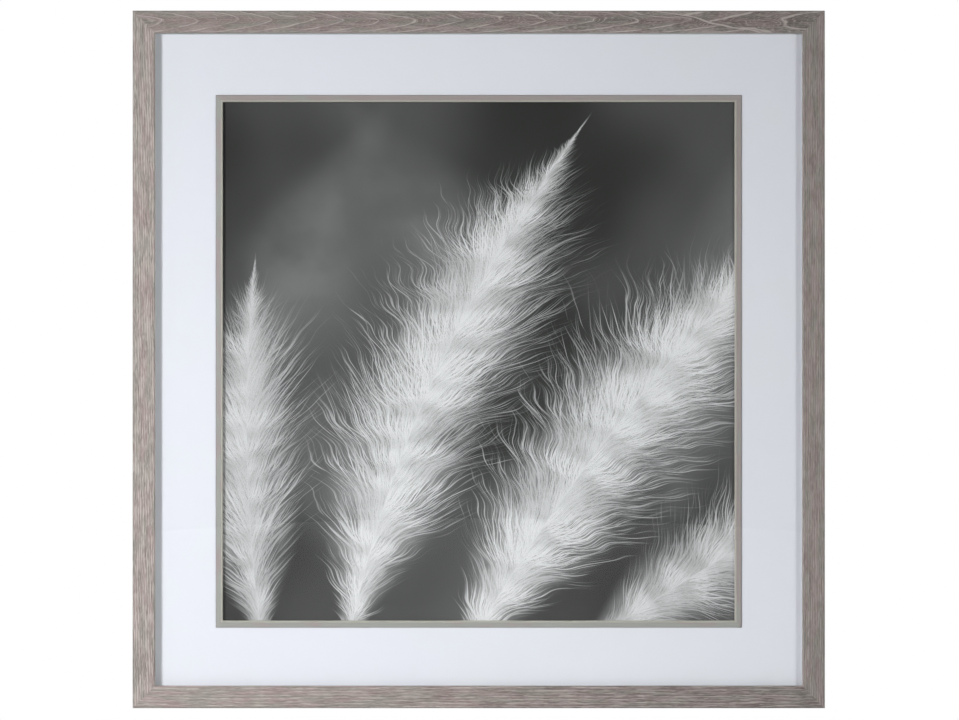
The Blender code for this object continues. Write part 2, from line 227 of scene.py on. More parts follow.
def growth_run(across, z, seed, arch, slant, wave, turned_at):
    """How far each spot is through the wood's growth in mm, how steeply that climbs, and the arches' seam."""
    slow = grain(across / 24, seed, z / 95) - 0.5
    quick = grain(across / 7, seed + 5, z / 26) - 0.5
    if not arch:
        return across + z * slant + slow * wave + quick * 2.0, 1.0, 0.0
    middle, blunt, power, seam_slope, seam_steep = 13.5, 0.6, 1.6, 4.6, 4.7
    off = abs(across - middle - slow * 14) + blunt
    back = off ** power * arch
    steep = ((off ** (power - 1) * (power * arch)) ** 2 + 1.0) ** 0.5
    seam = 0.0
    if turned_at is not None:
        past = z - turned_at - across * seam_slope + slow * 60
        beyond = maths("GREATER_THAN", past, 0.0)
        back = back * (1 - 1.7 * beyond) + beyond * 23.0
        seam = ramp(abs(past) / seam_steep, 0.2, 1.2, 0.9, 0.0)
    return z - z * z * 0.00035 + back + slow * 70 + quick * 24, steep, seam


def growth_lines(growth, steep, every, half_width, level):
    """Lines every so many mm of growth, equally wide where it climbs steeply and where it doesn't."""
    part = maths("FRACT", growth / every)
    return ramp(abs(part - 0.5) * every / steep, 0.1, half_width, level, 0.0)


def limed_oak(side, seed, line_every, tone, vigour, arch=0.0, slant=0.0, wave=9.0, turned_at=None):
    """Grey-washed oak with lime in its grain; X runs across the rail and Z along it.

    line_every is the distance between growth lines and wave how far they wander.
    tone scales the wood's colour at the low and the high end of Z: partly how pale
    the wood is, partly painted light, brighter towards the left where the key lamp stands; vigour is
    how strong its figure is at those ends.  arch is how far a growth line runs back along the rail for
    its distance off the middle, and 0 gives straight grain.  Past turned_at the arches point the other way.
    """
    # Arched lines are wider with more fine ones between them, break up sooner, and leave less for the pores.
    fine_lines, half_width, break_every, weakest, pores_full = 2.6, 0.7, 12.0, 0.35, 0.9
    if arch:
        fine_lines, half_width, break_every, weakest, pores_full = 8, 1.35, 5.5, 0.7, 0.6

    material, (x, y, z) = new_material("limed_oak_" + side)
    across = x + y * 0.9
    growth, steep, seam = growth_run(across, z, seed, arch, slant, wave, turned_at)
    line = growth_lines(growth, steep, line_every, half_width, 1.0)
    fine_line = growth_lines(growth, steep, line_every / fine_lines, 0.55, 0.55)
    shade_width = min(0.45 * line_every, 16.0)
    part = maths("FRACT", growth / line_every)
    from_shade = abs(part - 0.5 - 0.5 * shade_width / line_every) * line_every
    shade = fall(from_shade, 0.15 * shade_width, 0.6 * shade_width)

    fibre = grain(across / 0.85, seed + 2, z / 24, 3.0, 0.7)
    coarse = grain(across / 1.9, seed + 13, z / 38, 3.0, 0.65)
    pore = grain(across / 0.5, seed + 9, z / 6.5, 1.0)
    broken = grain(across / 1.3, seed + 17, z / break_every, 2.0)
    patch = grain(across / 9, seed + 3, z / 55)
    strength = grain(across / 8, seed + 7, z / 34)
    bold = ramp(z, -RAIL_END, RAIL_END, *vigour)

    colour = blend(ramp(patch, 0.43, 0.59), OAK_MAUVE, OAK_SAGE)
    for darkness in (shade * 0.30, ramp(coarse, 0.36, 0.53, 0.55, 0.0), ramp(fibre, 0.34, 0.50, 0.60, 0.0)):
        colour = blend(darkness * bold, colour, OAK_DARK)
    unbroken = ramp(strength, 0.36, 0.58, 0.5 * weakest, 1.0) * ramp(broken, 0.34, 0.56, weakest, 1.0)
    nested = ramp(strength, 0.50, 0.60) * ramp(broken, 0.36, 0.50, 0.4, 1.0)
    scattered = ramp(broken, 0.46, 0.62, 0.1, 1.0)
    in_lines = maths("MAXIMUM", line * unbroken, fine_line * maths("MAXIMUM", nested, scattered))
    in_lines = maths("MAXIMUM", in_lines, seam)
    in_pores = ramp(fibre, 0.50, 0.68, 0.0, 0.65) * ramp(pore, 0.44, 0.60, 0.25, pores_full)
    limed = maths("MAXIMUM", in_lines, in_pores) * bold
    colour = blend(limed, colour, OAK_LIME)

    # Painted shade: the face darkens towards its rounded outer edge.
    painted_edge_shade = ramp(x, 0.4, 2.4, 0.5, 0.0) * fall(y, 0.8, 2.2)
    colour = blend(painted_edge_shade, colour, OAK_EDGE_SHADE)
    # Painted light: this scale makes the rails brighter towards the left, on top of the wood's own paleness.
    colour = scaled(colour, ramp(z, -RAIL_END, RAIL_END, *tone))

    roughness = ramp(limed, 0.0, 1.0, 0.46, 0.66)
    relief = pore * 0.6 + fibre * 0.8 - line * 0.25
    return principled(material, colour, roughness, relief, 0.2 * MM)


# Each rail's tone holds the wood's paleness and painted light, brighter towards the left.
RAILS = {
    "left": dict(seed=11.0, line_every=3.1, slant=0.02, tone=(0.81, 0.84), vigour=(1.15, 1.0), wave=6.0),
    "right": dict(seed=23.0, line_every=3.0, slant=-0.006, tone=(0.66, 0.65), vigour=(0.7, 0.8), wave=5.0),
    "top": dict(seed=37.0, line_every=54.0, arch=1.0, tone=(0.73, 0.60), vigour=(0.75, 1.3), turned_at=232.0),
    "bottom": dict(seed=51.0, line_every=4.1, slant=0.004, tone=(0.57, 0.87), vigour=(1.4, 0.8), wave=7.0),
}


def fillet_stain(side, seed, mauve_share):
    """Plain taupe stain, rubbed lighter along the bead, with painted shade along its outer edge by the mat; X
    runs across the strip.
    """
    material, (x, y, z) = new_material("fillet_stain_" + side)
    streak = grain(x / 1.1, seed, z / 45, 3.0, 0.6)
    cloud = grain(x / 9, seed, z / 48)
    mauve, greener, pale = (0.375, 0.303, 0.322), (0.350, 0.340, 0.342), (0.45, 0.43, 0.425)
    rubbed, shaded = (0.60, 0.565, 0.52), (0.14, 0.13, 0.125)
    colour = blend(ramp(cloud, mauve_share - 0.08, mauve_share + 0.08), mauve, greener)
    colour = blend(ramp(streak, 0.3, 0.7, 0.0, 0.35), colour, pale)
    colour = blend(ramp(x, 6.2, 6.9, 0.0, 0.6), colour, rubbed)
    # Painted shade: the strip darkens towards its outer edge, where it meets the mat.
    colour = blend(ramp(x, 0.0, 0.9, 0.6, 0.0), colour, shaded)
    return principled(material, colour, 0.5, streak, 0.06 * MM)


FILLETS = {
    "left": dict(seed=3.0, mauve_share=0.50),
    "right": dict(seed=13.0, mauve_share=0.62),
    "top": dict(seed=19.0, mauve_share=0.62),
    "bottom": dict(seed=29.0, mauve_share=0.40),
}


# ---------------- the picture


def bent(x, z, root, heading, bend, length):
    """Distance along a curved stem, as a share of its length, and off to its left."""
    turn = math.radians(heading)
    dx, dz = x - root[0], z - root[1]
    along = (dx * math.cos(turn) + dz * math.sin(turn)) / length
    aside = dz * math.cos(turn) - dx * math.sin(turn) - along * along * bend
    return along, aside


def plume(x, z, seed, root, heading, length, bend, reach, light):
    """Brightness of a feathery grass plume: fine hairs swept forward off a curved stem."""
    along, aside = bent(x, z, root, heading, bend, length)
    off = abs(aside)
    side = maths("SIGN", aside) * 31.0
    tuft = grain(along * (length / 30), off / 110, side + seed, 0.0)
    total = 0.0
    for lean, spacing, share, level in PLUME_LAYERS:
        number = seed + 7 * lean
        # Where on the stem the hair at this spot starts, and how far out hairs reach from there.
        start = along - (off ** 0.82) * (lean * 2.2 / length) + (tuft - 0.5) * 0.04
        body = ramp(start, -0.04, 0.30) * fall(start, 0.50, 1.0)
        hair = grain(start * (length / spacing), off / 70 + side, number, 2.0, 0.6)
        reached = grain(start * (length / 5.0), side, number + 3, 3.0, 0.7)
        limit = body * (reach * share) * ramp(reached, 0.25, 0.75, 0.45, 1.35) + 1.0
        out = off / limit
        thin = ramp(hair - out * 0.12, 0.43, 0.57)
        on_stem = ramp(start, -0.06, 0.0) * fall(start, 0.97, 1.0)
        shown = thin * fall(out, 0.4, 1.0) * on_stem
        shown = shown * ramp(tuft, 0.35, 0.62, 0.62 * level, level)
        total = maths("MAXIMUM", total, shown)
    body = ramp(along, -0.02, 0.35) * fall(along, 0.55, 0.95)
    glow = ramp(off / (body * reach * 0.62 + 2.0), 0.0, 1.0, 0.5, 0.0) * fall(along, 0.86, 1.0)
    deep = grain(along * (length / 42), off / 42, side + seed + 11)
    total = total + glow * (1 - total) * ramp(deep, 0.35, 0.6, 0.45, 1.0)
    stem = ramp(off, 0.7, 1.6, 0.8, 0.0) * fall(along, 0.70, 0.90)
    return maths("MAXIMUM", total, stem) * light


def soft_plume(x, z, seed, root, heading, length, bend, reach, light):
    """A plume far out of focus, as a pale smear."""
    along, aside = bent(x, z, root, heading, bend, length)
    body = ramp(along, -0.1, 0.45) * fall(along, 0.5, 1.15)
    off = abs(aside) / (body * reach + 8)
    cloud = grain(x / 60, z / 60, seed)
    return fall(off, 0.0, 1.3) * body * ramp(cloud, 0.3, 0.7, 0.6, 1.0) * light


# Each layer of hair: how far it sweeps forward, its spacing in mm, its share of the reach, its level.
PLUME_LAYERS = (
    (0.85, 2.2, 1.0, 0.72),
    (1.35, 1.6, 0.84, 0.88),
    (2.1, 1.8, 0.62, 1.0),
    (3.2, 2.0, 0.40, 0.95),
)
# Each plume: seed, root as (x, z) in mm, heading in degrees up from +X, length, bend, reach, light.
PLUMES = (
    (3.0, (-275, -390), 99, 520, -70, 110, 0.78),
    (7.0, (-175, -400), 80, 760, -190, 155, 0.97),
    (17.0, (-40, -420), 62, 760, -130, 160, 1.0),
    (29.0, (120, -380), 34, 430, -20, 105, 0.86),
)
SOFT_PLUMES = (
    (41.0, (-330, -120), 72, 470, -60, 80, 0.34),
    (43.0, (60, -60), 112, 430, 60, 90, 0.34),
    (47.0, (240, -250), 80, 620, -50, 70, 0.30),
)


def picture_print():
    """A generic black-and-white study of grass plumes against a dark, blurred field."""
    material, (x, y, z) = new_material("picture_print")
    cloud = grain(x / 230 + 4.1, 2.0, z / 230 + 1.7, 1.0)
    light = ramp(cloud, 0.3, 0.7, 0.016, 0.10) * ramp(z, -330, 330, 1.25, 0.75)
    for looks in SOFT_PLUMES:
        seen = soft_plume(x, z, *looks) * 0.75
        light = light + seen * (1 - light) * 0.5
    for looks in PLUMES:
        seen = plume(x, z, *looks)
        light = light * (1 - seen) + seen * 0.9
    speck = grain(x / 0.9, y, z / 0.9, 1.0)
    light = light * ramp(speck, 0.2, 0.8, 0.93, 1.07)
    light = maths("MINIMUM", light, 0.84)
    tree = material.node_tree
    grey = tree.nodes.new("ShaderNodeCombineColor")
    violet_tint = (1.02, 0.985, 1.07)
    for socket, share in zip(grey.inputs, violet_tint):
        plug(tree, socket, light * share)
    bare_paper = (0.80, 0.80, 0.79)
    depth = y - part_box("art_print")[0].y / MM
    printed = fall(depth, 0.12, 0.2)
    colour = blend(printed, bare_paper, Field(tree, grey.outputs[0]))
    tooth = grain(x / 1.4, y, z / 1.4, 3.0)
    return principled(material, colour, 0.55, tooth, 0.01 * MM)


# ---------------- boards, paper, metal, rubber


def picture_glass():
    """Clear float glass with the faint green of its iron, which mirrors on its faces' outer sides."""
    material, (x, y, z) = new_material("picture_glass")
    tree = material.node_tree
    iron = grain(x / 300, y, z / 300)
    clear = tree.nodes.new("ShaderNodeBsdfTransparent")
    plug(tree, clear.inputs["Color"], blend(iron, (0.982, 0.994, 0.990), (0.988, 0.996, 0.993)))
    mirror = tree.nodes.new("ShaderNodeBsdfGlossy")
    mirror.inputs["Roughness"].default_value = 0.0
    edge_on = tree.nodes.new("ShaderNodeFresnel")
    edge_on.inputs["IOR"].default_value = 1.6
    side = tree.nodes.new("ShaderNodeNewGeometry")
    mirrored = Field(tree, edge_on.outputs[0]) * (1 - Field(tree, side.outputs["Backfacing"]))
    both = tree.nodes.new("ShaderNodeMixShader")
    plug(tree, both.inputs[0], mirrored)
    tree.links.new(clear.outputs[0], both.inputs[1])
    tree.links.new(mirror.outputs[0], both.inputs[2])
    tree.links.new(both.outputs[0], tree.nodes["Material Output"].inputs[0])
    return material


def mat_paper():
    """White mat board with a faint cool cloudiness and a fine tooth."""
    material, (x, y, z) = new_material("mat_paper")
    tooth = grain(x / 1.1, y / 1.1, z / 1.1, 4.0, 0.6)
    cloud = grain(x / 85, y, z / 85)
    colour = blend(ramp(cloud, 0.35, 0.65), (0.852, 0.822, 0.958), (0.845, 0.829, 0.945))
    colour = blend(ramp(tooth, 0.3, 0.7, 0.0, 0.05), colour, (0.70, 0.72, 0.76))
    return principled(material, colour, 0.85, tooth, 0.03 * MM)


def foam_board():
    """White card faces over a foam core, whose cut edge shows its cells."""
    material, (x, y, z) = new_material("foam_board")
    cells = grain(x / 0.8, y / 0.8, z / 0.8, 2.0)
    cloud = grain(x / 70, y, z / 70)
    colour = blend(ramp(cloud, 0.35, 0.65), (0.78, 0.78, 0.76), (0.82, 0.82, 0.81))
    colour = blend(ramp(cells, 0.35, 0.65, 0.0, 0.2), colour, (0.66, 0.66, 0.64))
    return principled(material, colour, 0.7, cells, 0.05 * MM)


def hardboard():
    """Brown pressed fibre with a fine felted face."""
    material, (x, y, z) = new_material("hardboard")
    felt = grain(x / 1.6, y / 1.6, z / 1.6, 4.0, 0.7)
    fleck = grain(x / 0.7, y, z / 3.5, 1.0)
    colour = blend(ramp(felt, 0.35, 0.65), (0.165, 0.098, 0.055), (0.250, 0.155, 0.090))
    colour = blend(ramp(fleck, 0.60, 0.70, 0.0, 0.6), colour, (0.36, 0.25, 0.15))
    return principled(material, colour, 0.65, felt, 0.1 * MM)


def kraft_paper():
    """Brown wrapping paper: machine lines, loose fibres and a darker glued border."""
    material, (x, y, z) = new_material("kraft_paper")
    half_width = (FRAME_HIGH.x - FRAME_LOW.x) / 2 / MM
    half_height = (FRAME_HIGH.z - FRAME_LOW.z) / 2 / MM
    inset = maths("MINIMUM", half_width - abs(x), half_height - abs(z))
    lines = grain(x / 1.1, 5.0, z / 55, 3.0, 0.6)
    pulp = grain(x / 3.2, 9.0, z / 3.2, 4.0, 0.65)
    cloud = grain(x / 60, 2.0, z / 60, 3.0)
    fibre = grain(x / 0.7, 31.0, z / 6.0, 1.0)
    cross = grain(x / 5.5, 37.0, z / 0.7, 1.0)
    colour = blend(ramp(cloud, 0.35, 0.65), (0.395, 0.262, 0.152), (0.440, 0.300, 0.180))
    colour = blend(ramp(lines, 0.4, 0.6, 0.0, 0.35), colour, (0.335, 0.215, 0.120))
    colour = blend(ramp(pulp, 0.35, 0.65, 0.0, 0.25), colour, (0.50, 0.355, 0.225))
    strands = maths("MAXIMUM", ramp(fibre, 0.66, 0.72), ramp(cross, 0.67, 0.73))
    colour = blend(strands * 0.45, colour, (0.60, 0.46, 0.31))
    wobble = (grain(x / 9, 3.0, z / 9) - 0.5) * 2.2
    glued = fall(inset + wobble, 11.0, 13.0) * ramp(inset + wobble, 5.5, 6.5)
    colour = blend(glued * 0.22, colour, (0.24, 0.15, 0.085))
    roughness = ramp(pulp, 0.3, 0.7, 0.68, 0.86)
    return principled(material, colour, roughness, lines * 0.5 + pulp, 0.06 * MM)


def zinc_plate():
    """Bright zinc with faint rolling lines, fine scratches and duller patches."""
    material, (x, y, z) = new_material("zinc_plate")
    rolled = grain(x / 0.35, y / 2.0, z / 14, 3.0, 0.7)
    dull = grain(x / 4, y / 4, z / 4, 3.0, 0.6)
    colour = blend(ramp(dull, 0.38, 0.62), (0.66, 0.665, 0.67), (0.52, 0.53, 0.55))
    colour = blend(ramp(rolled, 0.55, 0.75, 0.0, 0.3), colour, (0.78, 0.78, 0.77))
    roughness = ramp(dull, 0.35, 0.65, 0.22, 0.42)
    return principled(material, colour, roughness, rolled, 0.015 * MM, Metallic=1.0)


def bright_steel(name):
    """Thin pressed steel with a grey oil bloom."""
    material, (x, y, z) = new_material(name)
    bloom = grain(x / 3, y / 3, z / 3, 3.0)
    colour = blend(ramp(bloom, 0.35, 0.65), (0.56, 0.56, 0.57), (0.40, 0.41, 0.43))
    roughness = ramp(bloom, 0.35, 0.65, 0.3, 0.5)
    return principled(material, colour, roughness, bloom, 0.02 * MM, Metallic=1.0)


def moulded(name, colour, worn, roughness):
    """Plastic or rubber with a fine spark-eroded skin."""
    material, (x, y, z) = new_material(name)
    skin = grain(x / 0.3, y / 0.3, z / 0.3, 2.0)
    dust = grain(x / 5, y / 5, z / 5, 3.0)
    mixed = blend(ramp(dust, 0.45, 0.75), colour, worn)
    varied = ramp(skin, 0.3, 0.7, roughness - 0.08, roughness + 0.08)
    return principled(material, mixed, varied, skin, 0.03 * MM)


# ---------------- shapes


def arc(centre, radius, start, end, steps):
    """Points along an arc, from start to end degrees."""
    angles = [math.radians(start + (end - start) * i / steps) for i in range(steps + 1)]
    return [(centre[0] + radius * math.cos(a), centre[1] + radius * math.sin(a)) for a in angles]


def spread(points, longest):
    """The closed outline with points added so that no stretch is longer than longest."""
    found = []
    for here, there in zip(points, points[1:] + points[:1]):
        count = max(1, math.ceil(math.dist(here, there) / longest))
        for i in range(count):
            t = i / count
            found.append((here[0] + (there[0] - here[0]) * t, here[1] + (there[1] - here[1]) * t))
    return found


def new_piece(name, work, crease=32.0):
    """An object from a bmesh, shaded smooth with edges sharper than crease degrees kept."""
    mesh = bpy.data.meshes.new(name)
    bmesh.ops.recalc_face_normals(work, faces=work.faces)
    for face in work.faces:
        face.smooth = True
    work.to_mesh(mesh)
    work.free()
    mesh.set_sharp_from_angle(angle=math.radians(crease))
    obj = bpy.data.objects.new(name, mesh)
    bpy.context.scene.collection.objects.link(obj)
    return obj


def finish_piece(obj, material, body, slot, *nodes):
    """Gives a piece its one material and the body it rides on, and hides the nodes it stands for; slot is not
    used.
    """
    obj.data.materials.clear()
    obj.data.materials.append(material)
    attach(obj, body)
    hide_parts(*nodes)


def settle(obj, crease=32.0):
    """Puts the result of the piece's modifiers into its mesh."""
    graph = bpy.context.evaluated_depsgraph_get()
    mesh = bpy.data.meshes.new_from_object(obj.evaluated_get(graph))
    obj.modifiers.clear()
    obj.data = mesh
    mesh.shade_smooth()
    mesh.set_sharp_from_angle(angle=math.radians(crease))


def side_turn(side):
    """The turn that takes a piece from the left side to this one."""
    return Matrix.Rotation(math.radians(SIDES[side]), 4, "Y")


def mitred_bar(name, section, half_length, stations, wander=None):
    """A bar along Z whose ends are cut at 45 degrees, X being the distance in from its outer edge.

    Its bake map lays the length out in two strips, so that the grain keeps its detail.
    """
    count = len(section)
    lengths = [math.dist(a, b) for a, b in zip(section, section[1:] + section[:1])]
    around = [sum(lengths[:i]) / sum(lengths) for i in range(count + 1)]
    hairline = 0.03 * MM
    work = bmesh.new()
    layer = work.loops.layers.uv.new(BAKE_MAP)
    rings = []
    for j in range(stations + 1):
        t = 2 * j / stations - 1
        places = [Vector((u, v, t * (half_length - u - hairline))) for u, v in section]
        if wander:
            places = [place + wander(place) for place in places]
        rings.append([work.verts.new(place) for place in places])
    strips = 2
    per_strip = stations // strips
    margin, used_length, strip_gap, used_width = 0.002, 0.966, 0.01, 0.98
    for j in range(stations):
        strip, step = divmod(j, per_strip)
        for i in range(count):
            k = (i + 1) % count
            face = work.faces.new((rings[j][i], rings[j + 1][i], rings[j + 1][k], rings[j][k]))
            ends = ((step, i), (step + 1, i), (step + 1, i + 1), (step, i + 1))
            for loop, (along, place) in zip(face.loops, ends):
                u = margin + used_length * along / per_strip
                v = (strip + strip_gap + used_width * around[place]) / strips
                loop[layer].uv = (u, v)
    widest = max(max(point) for point in section)
    caps_from, cap_width, cap_height = 0.975, 0.02, 0.4
    for ring, low in ((rings[0], 0.01), (rings[-1][::-1], 0.51)):
        cap = work.faces.new(ring)
        for loop in cap.loops:
            across, deep = loop.vert.co.x / widest, loop.vert.co.y / widest
            loop[layer].uv = (caps_from + cap_width * across, low + cap_height * deep)
    return new_piece(name, work)


def rail_section():
    """The moulding as distance in from its outer edge and distance back from its face."""
    outer, lip, back = mm(1.5, 1.7, 1.0)
    outline = [
        *arc((outer, outer), outer, 180, 270, 6),
        *arc((RAIL_FACE - lip, lip), lip, 270, 360, 5),
        (RAIL_FACE, LIP_THICKNESS),
        (RABBET_WALL, LIP_THICKNESS),
        (RABBET_WALL, RAIL_DEPTH),
        *arc((back, RAIL_DEPTH - back), back, 90, 180, 4),
    ]
    return spread(outline, 2.0 * MM)


def sanded(place):
    """Slight wander of a hand-sanded face, inward only."""
    face_depth, wander = mm(1.0, 0.05)
    if place.y > face_depth:
        return Vector((0.0, 0.0, 0.0))
    wave = noise.noise(Vector((place.x * 90, place.y * 90, place.z * 35)))
    return Vector((0.0, wander * (1 + wave), 0.0))


def boxes_round(node):
    """The boxes of the left, right, bottom and top one of four CAD nodes."""
    return [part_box(f"{node}_{side}") for side in ("left", "right", "bottom", "top")]


def mitred_frame(node, piece, sides, section, stations, material_of, slot, wander=None):
    """Four mitred bars in place of the CAD nodes whose names are node and a side."""
    left, right, bottom, top = boxes_round(node)
    half_width = (right[1].x - left[0].x) / 2
    half_height = (top[1].z - bottom[0].z) / 2
    middle = Matrix.Translation((0, left[0].y, (top[1].z + bottom[0].z) / 2))
    for side, looks in sides.items():
        upright = side in ("left", "right")
        half_length, reach = (half_height, half_width) if upright else (half_width, half_height)
        bar = mitred_bar(f"{piece}_{side}", section, half_length, stations, wander)
        bar.matrix_world = middle @ side_turn(side) @ Matrix.Translation((-reach, 0, 0))
        finish_piece(bar, material_of(side, **looks), "frame", slot, f"{node}_{side}")


def make_rails():
    mitred_frame("rail", "oak_rail", RAILS, rail_section(), 160, limed_oak, "limed_oak", sanded)


def fillet_section():
    """A band that falls away outward, a bead along its inner edge, and a quirk between them."""
    low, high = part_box("fillet_left")
    width, depth = high.x - low.x, high.y - low.y
    bead, band, ease, slope, quirk_width, quirk_depth = mm(1.0, 0.2, 0.6, 0.5, 0.3, 0.4)
    quirk = width - 2 * bead
    outline = [
        *arc((ease, band + slope + ease), ease, 180, 270, 5),
        (quirk - quirk_width, band),
        (quirk, band + quirk_depth),
        *arc((width - bead, bead), bead, 200, 360, 12),
        (width, depth),
        (0.0, depth),
    ]
    return spread(outline, 1.5 * MM)


def make_fillets():
    mitred_frame("fillet", "fillet_strip", FILLETS, fillet_section(), 80, fillet_stain, "fillet_wood")


def make_glass():
    """The pane, with its cut edges ground off."""
    low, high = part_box("glazing")
    ground_off = 0.2 * MM
    work = bmesh.new()
    bmesh.ops.create_cube(work, size=1.0)
    for vertex in work.verts:
        vertex.co = Vector(low[i] + (high[i] - low[i]) * (vertex.co[i] + 0.5) for i in range(3))
    bmesh.ops.bevel(work, geom=work.edges[:], offset=ground_off, segments=2, affect="EDGES", profile=0.5)
    pane = new_piece("glass_pane", work)
    finish_piece(pane, picture_glass(), "frame", "picture_glass", "glazing")


def stepped(low, high, near, far, inner, border):
    """Places along one side of a sheet, and where each falls on its bake map.

    The stretch from near to far gets nearly the whole map, and the hidden borders a sliver each.
    """
    places = [low + (near - low) * i / border for i in range(border)]
    places += [near + (far - near) * i / inner for i in range(inner)]
    places += [far + (high - far) * i / border for i in range(border + 1)]
    sliver = 0.01
    marks = [sliver * i / border for i in range(border)]
    marks += [sliver + (1 - 2 * sliver) * i / inner for i in range(inner)]
    marks += [1 - sliver + sliver * i / border for i in range(border + 1)]
    return places, marks


def grid(work, xs, zs, place):
    """Rows of vertices, one for each x and z, where place puts it."""
    return [[work.verts.new(place(x, z)) for x in xs] for z in zs]


def border_of(across, up):
    """The (row, column) places round the edge of a grid with so many squares across and up."""
    border = [(0, i) for i in range(across)] + [(j, across) for j in range(up)]
    return border + [(up, i) for i in range(across, 0, -1)] + [(j, 0) for j in range(up, 0, -1)]


def join_edges(work, front, back, border):
    """Joins two sheets of vertices round their border, and gives the faces in order."""
    return [
        work.faces.new((front[b][a], front[d][c], back[d][c], back[b][a]))
        for (b, a), (d, c) in zip(border, border[1:] + border[:1])
    ]


def make_print():
    """The picture on its sheet, with a bake map that spends itself on what shows."""
    low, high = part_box("art_print")
    left, right, bottom, top = boxes_round("fillet")
    xs, us = stepped(low.x, high.x, left[1].x, right[0].x, 40, 3)
    zs, vs = stepped(low.z, high.z, bottom[1].z, top[0].z, 40, 3)
    ripple = 0.04 * MM
    work = bmesh.new()
    layer = work.loops.layers.uv.new(BAKE_MAP)

    def rippled(y):
        return lambda x, z: (x, y + ripple * noise.noise(Vector((x * 6, 0.4, z * 6))), z)

    front = grid(work, xs, zs, rippled(low.y + ripple))
    back = grid(work, xs, zs, rippled(high.y - ripple))
    # Where on the map's height the front, the back and the edge start, and how much each one has.
    front_map, back_map, edge_map = (0.0, 0.975), (0.98, 0.012), (0.994, 0.005)
    for rows, (bottom, share) in ((front, front_map), (back, back_map)):
        for j in range(len(zs) - 1):
            for i in range(len(xs) - 1):
                corners = ((j, i), (j, i + 1), (j + 1, i + 1), (j + 1, i))
                face = work.faces.new([rows[b][a] for b, a in corners])
                for loop, (b, a) in zip(face.loops, corners):
                    loop[layer].uv = (us[a], bottom + share * vs[b])
    border = border_of(len(xs) - 1, len(zs) - 1)
    for n, face in enumerate(join_edges(work, front, back, border)):
        strip = ((n, 0), (n + 1, 0), (n + 1, 1), (n, 1))
        for loop, (along, deep) in zip(face.loops, strip):
            loop[layer].uv = (along / len(border), edge_map[0] + edge_map[1] * deep)
    obj = new_piece("picture_sheet", work)
    finish_piece(obj, picture_print(), "frame", "print_paper", "art_print")


def make_dust_cover():
    """Kraft paper glued round the rails' backs, drawn in a little over the hollow behind the boards."""
    low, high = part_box("dust_cover")
    hollow_x = FRAME_HIGH.x - RABBET_WALL
    hollow_z = FRAME_HIGH.z - RABBET_WALL
    steps = 72
    slope, sag, waves, pulls, ragged_edge = mm(60, 1.1, 0.5, 1.2, 0.42)

    def sunk(x, z):
        inside = min(hollow_x - abs(x), hollow_z - abs(z))
        if inside <= 0:
            return 0.0
        ease = min(1.0, inside / slope)
        ease = ease * ease * (3 - 2 * ease)
        tight = noise.noise(Vector((x * 5, 1.3, z * 5)))
        diagonal = noise.noise(Vector(((x + z) * 26, (x - z) * 5, 2.1)))
        corner = max(0.0, abs(x) / hollow_x + abs(z) / hollow_z - 1.2)
        return ease * (sag + waves * tight + pulls * corner * diagonal)

    def trimmed(value, limit, along):
        ragged = ragged_edge * (1 + noise.noise(Vector((along * 40, limit, 0.7))))
        return value * (1 - ragged / limit)

    def laid(y):
        return lambda x, z: (trimmed(x, high.x, z), y - sunk(x, z), trimmed(z, high.z, x))

    xs = [low.x + (high.x - low.x) * i / steps for i in range(steps + 1)]
    zs = [low.z + (high.z - low.z) * i / steps for i in range(steps + 1)]
    work = bmesh.new()
    sheets = []
    for y in (low.y, high.y):
        rows = grid(work, xs, zs, laid(y))
        for j in range(steps):
            for i in range(steps):
                work.faces.new((rows[j][i], rows[j][i + 1], rows[j + 1][i + 1], rows[j + 1][i]))
        sheets.append(rows)
    join_edges(work, *sheets, border_of(steps, steps))
    obj = new_piece("kraft_dust_cover", work)
    finish_piece(obj, kraft_paper(), "frame", "kraft_paper", "dust_cover")


def turned(work, profile, around, shaping=None):
    """Turns a profile of (radius, height) about Z, closing it at the ends that lie on the axis."""
    rings = []
    for radius, height in profile:
        if radius == 0:
            rings.append([work.verts.new((0, 0, height))])
            continue
        ring = []
        for i in range(around):
            angle = 2 * math.pi * i / around
            r = radius if shaping is None else shaping(radius, height, angle)
            ring.append(work.verts.new((r * math.cos(angle), r * math.sin(angle), height)))
        rings.append(ring)
    for lower, upper in zip(rings, rings[1:]):
        for i in range(around):
            k = (i + 1) % around
            below = lower[i % len(lower)], lower[k % len(lower)]
            above = upper[k % len(upper)], upper[i % len(upper)]
            work.faces.new(list(dict.fromkeys(below + above)))


HANGER_PIVOTS = {
    joint["child"]: Vector(joint["pos_m"])
    for joint in frame["record"]["behaviour"]["joints"]
}
STRAP_LENGTH = 56.0 * MM
STRAP_HALF_WIDTH = 6.5 * MM
SHEET = 0.95 * MM
STRAP_THICKNESS = 2.0 * MM
KNUCKLE_RADIUS = 2.8 * MM
# The strap's middle layer turns round the bar at this radius, from straight back to the kink's angle.
FOLD_RADIUS = KNUCKLE_RADIUS - SHEET / 2
KINK = math.asin((STRAP_THICKNESS - SHEET / 2 - KNUCKLE_RADIUS) / FOLD_RADIUS)
FOLD_LENGTH = (1.5 * math.pi - KINK) * FOLD_RADIUS
FOLD_END_DROP = FOLD_RADIUS * math.cos(KINK)
SCREW_DROPS = mm(29.0, 47.0)
SCREW_HOLE_RADIUS = 1.8 * MM
OUT_OF_BACK = Matrix.Rotation(math.radians(-90), 4, "X")


def folded(along):
    """Where a point along the flat strap comes to lie, as drop below the pivot and height off the back."""
    into_fold = along - STRAP_LENGTH
    if into_fold < 0:
        return -into_fold, SHEET / 2
    if into_fold < FOLD_LENGTH:
        angle = 1.5 * math.pi - into_fold / FOLD_RADIUS
        return FOLD_RADIUS * math.cos(angle), KNUCKLE_RADIUS + FOLD_RADIUS * math.sin(angle)
    return FOLD_END_DROP + into_fold - FOLD_LENGTH, STRAP_THICKNESS - SHEET / 2


